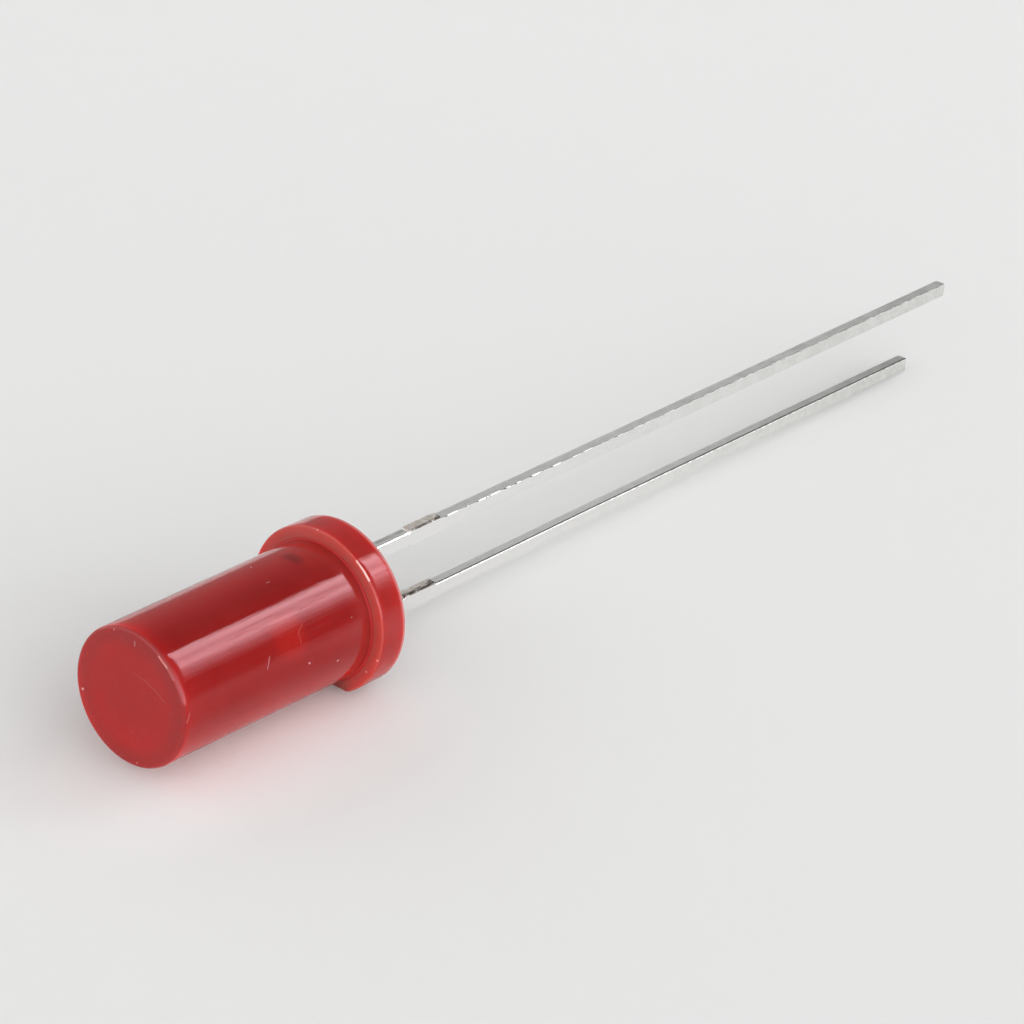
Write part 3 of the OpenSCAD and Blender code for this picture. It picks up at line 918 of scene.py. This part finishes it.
class LED_OT_set_stage(bpy.types.Operator):
    """Set the stage: floor, tent, softbox and camera"""
    bl_idname = "led.set_stage"
    bl_label = "Set stage"

    # The softbox: how high its foot, its face and its top stand as seen from the LED, in degrees
    FOOT_ANGLE, FACE_ANGLE, TOP_ANGLE = 22.0, 50.0, 74.5
    # Its distance out from the LED, its place along X and its width, in metres
    SPREAD, ALONG, WIDTH = 0.584, 0.616, 0.30
    # Share of the height from foot to top, and how bright the cloth is there
    CLOTH = [(0.0, 0.0), (0.18, 0.10), (0.34, 0.34), (0.42, 0.53), (0.53, 1.0), (0.59, 0.95), (0.63, 0.78),
             (0.66, 0.88), (0.70, 0.68), (0.74, 0.80), (0.77, 0.72), (0.82, 1.0), (1.0, 1.0)]

    def execute(self, context):
        s = context.scene.led_stage
        self.floor(s)
        self.tent(context.scene, s)
        self.softbox(s)
        self.camera(context.scene, s)
        context.scene.view_settings.view_transform = "Standard"
        return {"FINISHED"}

    @staticmethod
    def floor(s):
        """A pale floor that lets light in. Painted shade in reflections: seen in glossy rays it is darker
        far out and under the case. Painted light: a paler patch beside the barrel, as painted bounce light.
        """
        bm = bmesh.new()
        bmesh.ops.create_circle(bm, cap_ends=True, radius=0.2, segments=128)
        material, tree, shader = new_material("pale_floor")
        place = add(tree, "ShaderNodeTexCoord").outputs["Object"]
        grain = use_group(tree, "mottle", Vector=place, Large=60.0, Small=900.0, Balance=0.5)
        x, y, _ = split_axes(tree, place)
        # Painted shade in reflections: glossy rays see the floor darker far out and under the case
        far = ramp_value(tree, y, -0.032, -0.008, 0.5, 0.0, smooth=False)
        under = ramp_value(tree, x, -0.0095, -0.0065, 0.38, 0.0)
        mirrored = add(tree, "ShaderNodeLightPath").outputs["Is Glossy Ray"]
        painted_mirror_shade = times(tree, mirrored, math_node(tree, "MAXIMUM", far, under))
        # Painted bounce light: a paler patch beside the barrel
        beside = vector_node(tree, "MULTIPLY", vector_node(tree, "SUBTRACT", place, (-0.0170, -0.0026, 0.0)),
                             (1 / 0.0105, 1 / 0.0040, 0.0))
        painted_bounce_light = ramp_value(tree, vector_node(tree, "LENGTH", beside, out=1), 0.2, 1.0, 0.5, 0.0)
        colour = mix_colour(tree, grain, [0.985 * c for c in s.floor], s.floor)
        colour = mix_colour(tree, painted_mirror_shade, colour, (0.0, 0.0, 0.0))
        colour = mix_colour(tree, painted_bounce_light, colour, (0.94, 0.955, 0.955))
        fill(tree, shader, {
            "Base Color": colour, "Roughness": 0.9, "Specular IOR Level": 0.15, "Subsurface Weight": 1.0,
            "Subsurface Radius": (1.0, 1.0, 1.0), "Subsurface Scale": 0.0055})
        make_object(bm, "floor", material)

    @staticmethod
    def tent(scene, s):
        """White light from all round, darker beyond the leads, where only the softbox stands."""
        scene.world = bpy.data.worlds.new("tent")
        tree = empty_tree(scene.world)
        direction = add(tree, "ShaderNodeTexCoord").outputs["Generated"]
        x, y, z = split_axes(tree, direction)
        toward = vector_node(tree, "DOT_PRODUCT", direction, (-0.2, -0.98, 0.0), out=1)
        lit = times(tree, ramp_value(tree, toward, -1.0, 0.8, 0.42 * s.sky, 1.28 * s.sky),
                    ramp_value(tree, z, 0.0, 0.9, 1.9, 0.2, smooth=False))
        dim = ramp_value(tree, y, -0.1, 0.75, 0.14, 0.34)
        light = mix_value(tree, ramp_value(tree, x, 0.42, 0.62), lit, dim)
        seen = add(tree, "ShaderNodeLightPath").outputs["Is Camera Ray"]
        strength = mix_value(tree, seen, light, 0.79)
        back = add(tree, "ShaderNodeBackground", {"Color": (1.0, 1.0, 0.998, 1.0), "Strength": strength})
        add(tree, "ShaderNodeOutputWorld", {"Surface": back.outputs[0]})

    def softbox(self, s):
        """An upright softbox at the lead side, bright at its top and fading towards its foot."""
        lean = math.radians(self.FACE_ANGLE)
        along = Vector((1, 0, 0))
        out = Vector((0, -math.cos(lean), math.sin(lean)))
        rise = out.cross(along)
        top = self.SPREAD * math.tan(math.radians(self.TOP_ANGLE - self.FACE_ANGLE))
        foot = self.SPREAD * math.tan(math.radians(self.FOOT_ANGLE - self.FACE_ANGLE))
        centre = along * self.ALONG + out * self.SPREAD + rise * ((top + foot) / 2)
        bm = bmesh.new()
        bmesh.ops.create_grid(bm, x_segments=4, y_segments=8, size=0.5)
        bmesh.ops.scale(bm, vec=(self.WIDTH, top - foot, 1.0), verts=bm.verts)
        turn = Matrix((along, rise, out)).transposed().to_4x4()
        bmesh.ops.transform(bm, matrix=Matrix.Translation(centre) @ turn, verts=bm.verts)
        material = bpy.data.materials.new("softbox_cloth")
        tree = empty_tree(material)
        where = add(tree, "ShaderNodeTexCoord").outputs["Object"]
        from_centre = vector_node(tree, "SUBTRACT", where, tuple(centre))
        level = vector_node(tree, "DOT_PRODUCT", from_centre, tuple(rise), out=1)
        share = ramp_value(tree, level, (foot - top) / 2, (top - foot) / 2, smooth=False)
        fade = add(tree, "ShaderNodeValToRGB", {"Fac": share})
        ramp = fade.color_ramp
        while len(ramp.elements) < len(self.CLOTH):
            ramp.elements.new(0.5)
        for element, (position, value) in zip(ramp.elements, self.CLOTH):
            element.position = position
            element.color = (value, value, value, 1.0)
        wing = ramp_value(tree, split_axes(tree, where)[0], 0.59, 0.65)
        strength = times(tree, mix_value(tree, wing, fade.outputs["Color"], 0.12), s.softbox)
        glow = add(tree, "ShaderNodeEmission", {"Color": (0.985, 0.99, 1.0, 1.0), "Strength": strength})
        add(tree, "ShaderNodeOutputMaterial", {"Surface": glow.outputs[0]})
        card = make_object(bm, "softbox", material)
        card.visible_camera = False

    @staticmethod
    def camera(scene, s):
        aim = Vector((-0.004526, -0.001483, 0.003794))
        back = Vector((math.sin(s.azimuth) * math.cos(s.elevation),
                       -math.cos(s.azimuth) * math.cos(s.elevation), math.sin(s.elevation)))
        data = bpy.data.cameras.new("camera")
        data.lens = s.lens
        data.sensor_width = 36.0
        data.clip_start = 0.005
        data.clip_end = 20.0
        camera = bpy.data.objects.new("camera", data)
        scene.collection.objects.link(camera)
        turn = back.to_track_quat("Z", "Y").to_matrix().to_4x4() @ Matrix.Rotation(s.roll, 4, "Z")
        camera.matrix_world = Matrix.Translation(aim + back * s.distance) @ turn
        scene.camera = camera


class LED_PT_panel(bpy.types.Panel):
    bl_idname = "LED_PT_panel"
    bl_label = "Flat-top LED"
    bl_space_type = "VIEW_3D"
    bl_region_type = "UI"
    bl_category = "LED"

    def draw(self, context):
        layout = self.layout
        for operator in OPERATORS:
            layout.operator(operator.bl_idname)
        for group in (context.scene.led_case, context.scene.led_leads, context.scene.led_stage):
            box = layout.box()
            for name in group.bl_rna.properties.keys():
                if name not in {"rna_type", "name"}:
                    box.prop(group, name)


OPERATORS = (LED_OT_cast_case, LED_OT_stamp_leads, LED_OT_finish_chip, LED_OT_set_stage)
SETTINGS = (("led_case", LedCaseSettings), ("led_leads", LedLeadSettings), ("led_stage", LedStageSettings))


def register():
    for name, group in SETTINGS:
        bpy.utils.register_class(group)
        setattr(bpy.types.Scene, name, bpy.props.PointerProperty(type=group))
    for part in (*OPERATORS, LED_PT_panel):
        bpy.utils.register_class(part)


def unregister():
    for part in reversed((*OPERATORS, LED_PT_panel)):
        bpy.utils.unregister_class(part)
    for name, group in reversed(SETTINGS):
        delattr(bpy.types.Scene, name)
        bpy.utils.unregister_class(group)


def main():
    register()
    for make in (make_dust_group, make_scratch_group, make_mottle_group, make_buried_group, make_nick_group):
        make()
    bpy.ops.led.cast_case()
    bpy.ops.led.stamp_leads()
    bpy.ops.led.finish_chip()
    bpy.ops.led.set_stage()


if __name__ == "__main__":
    main()
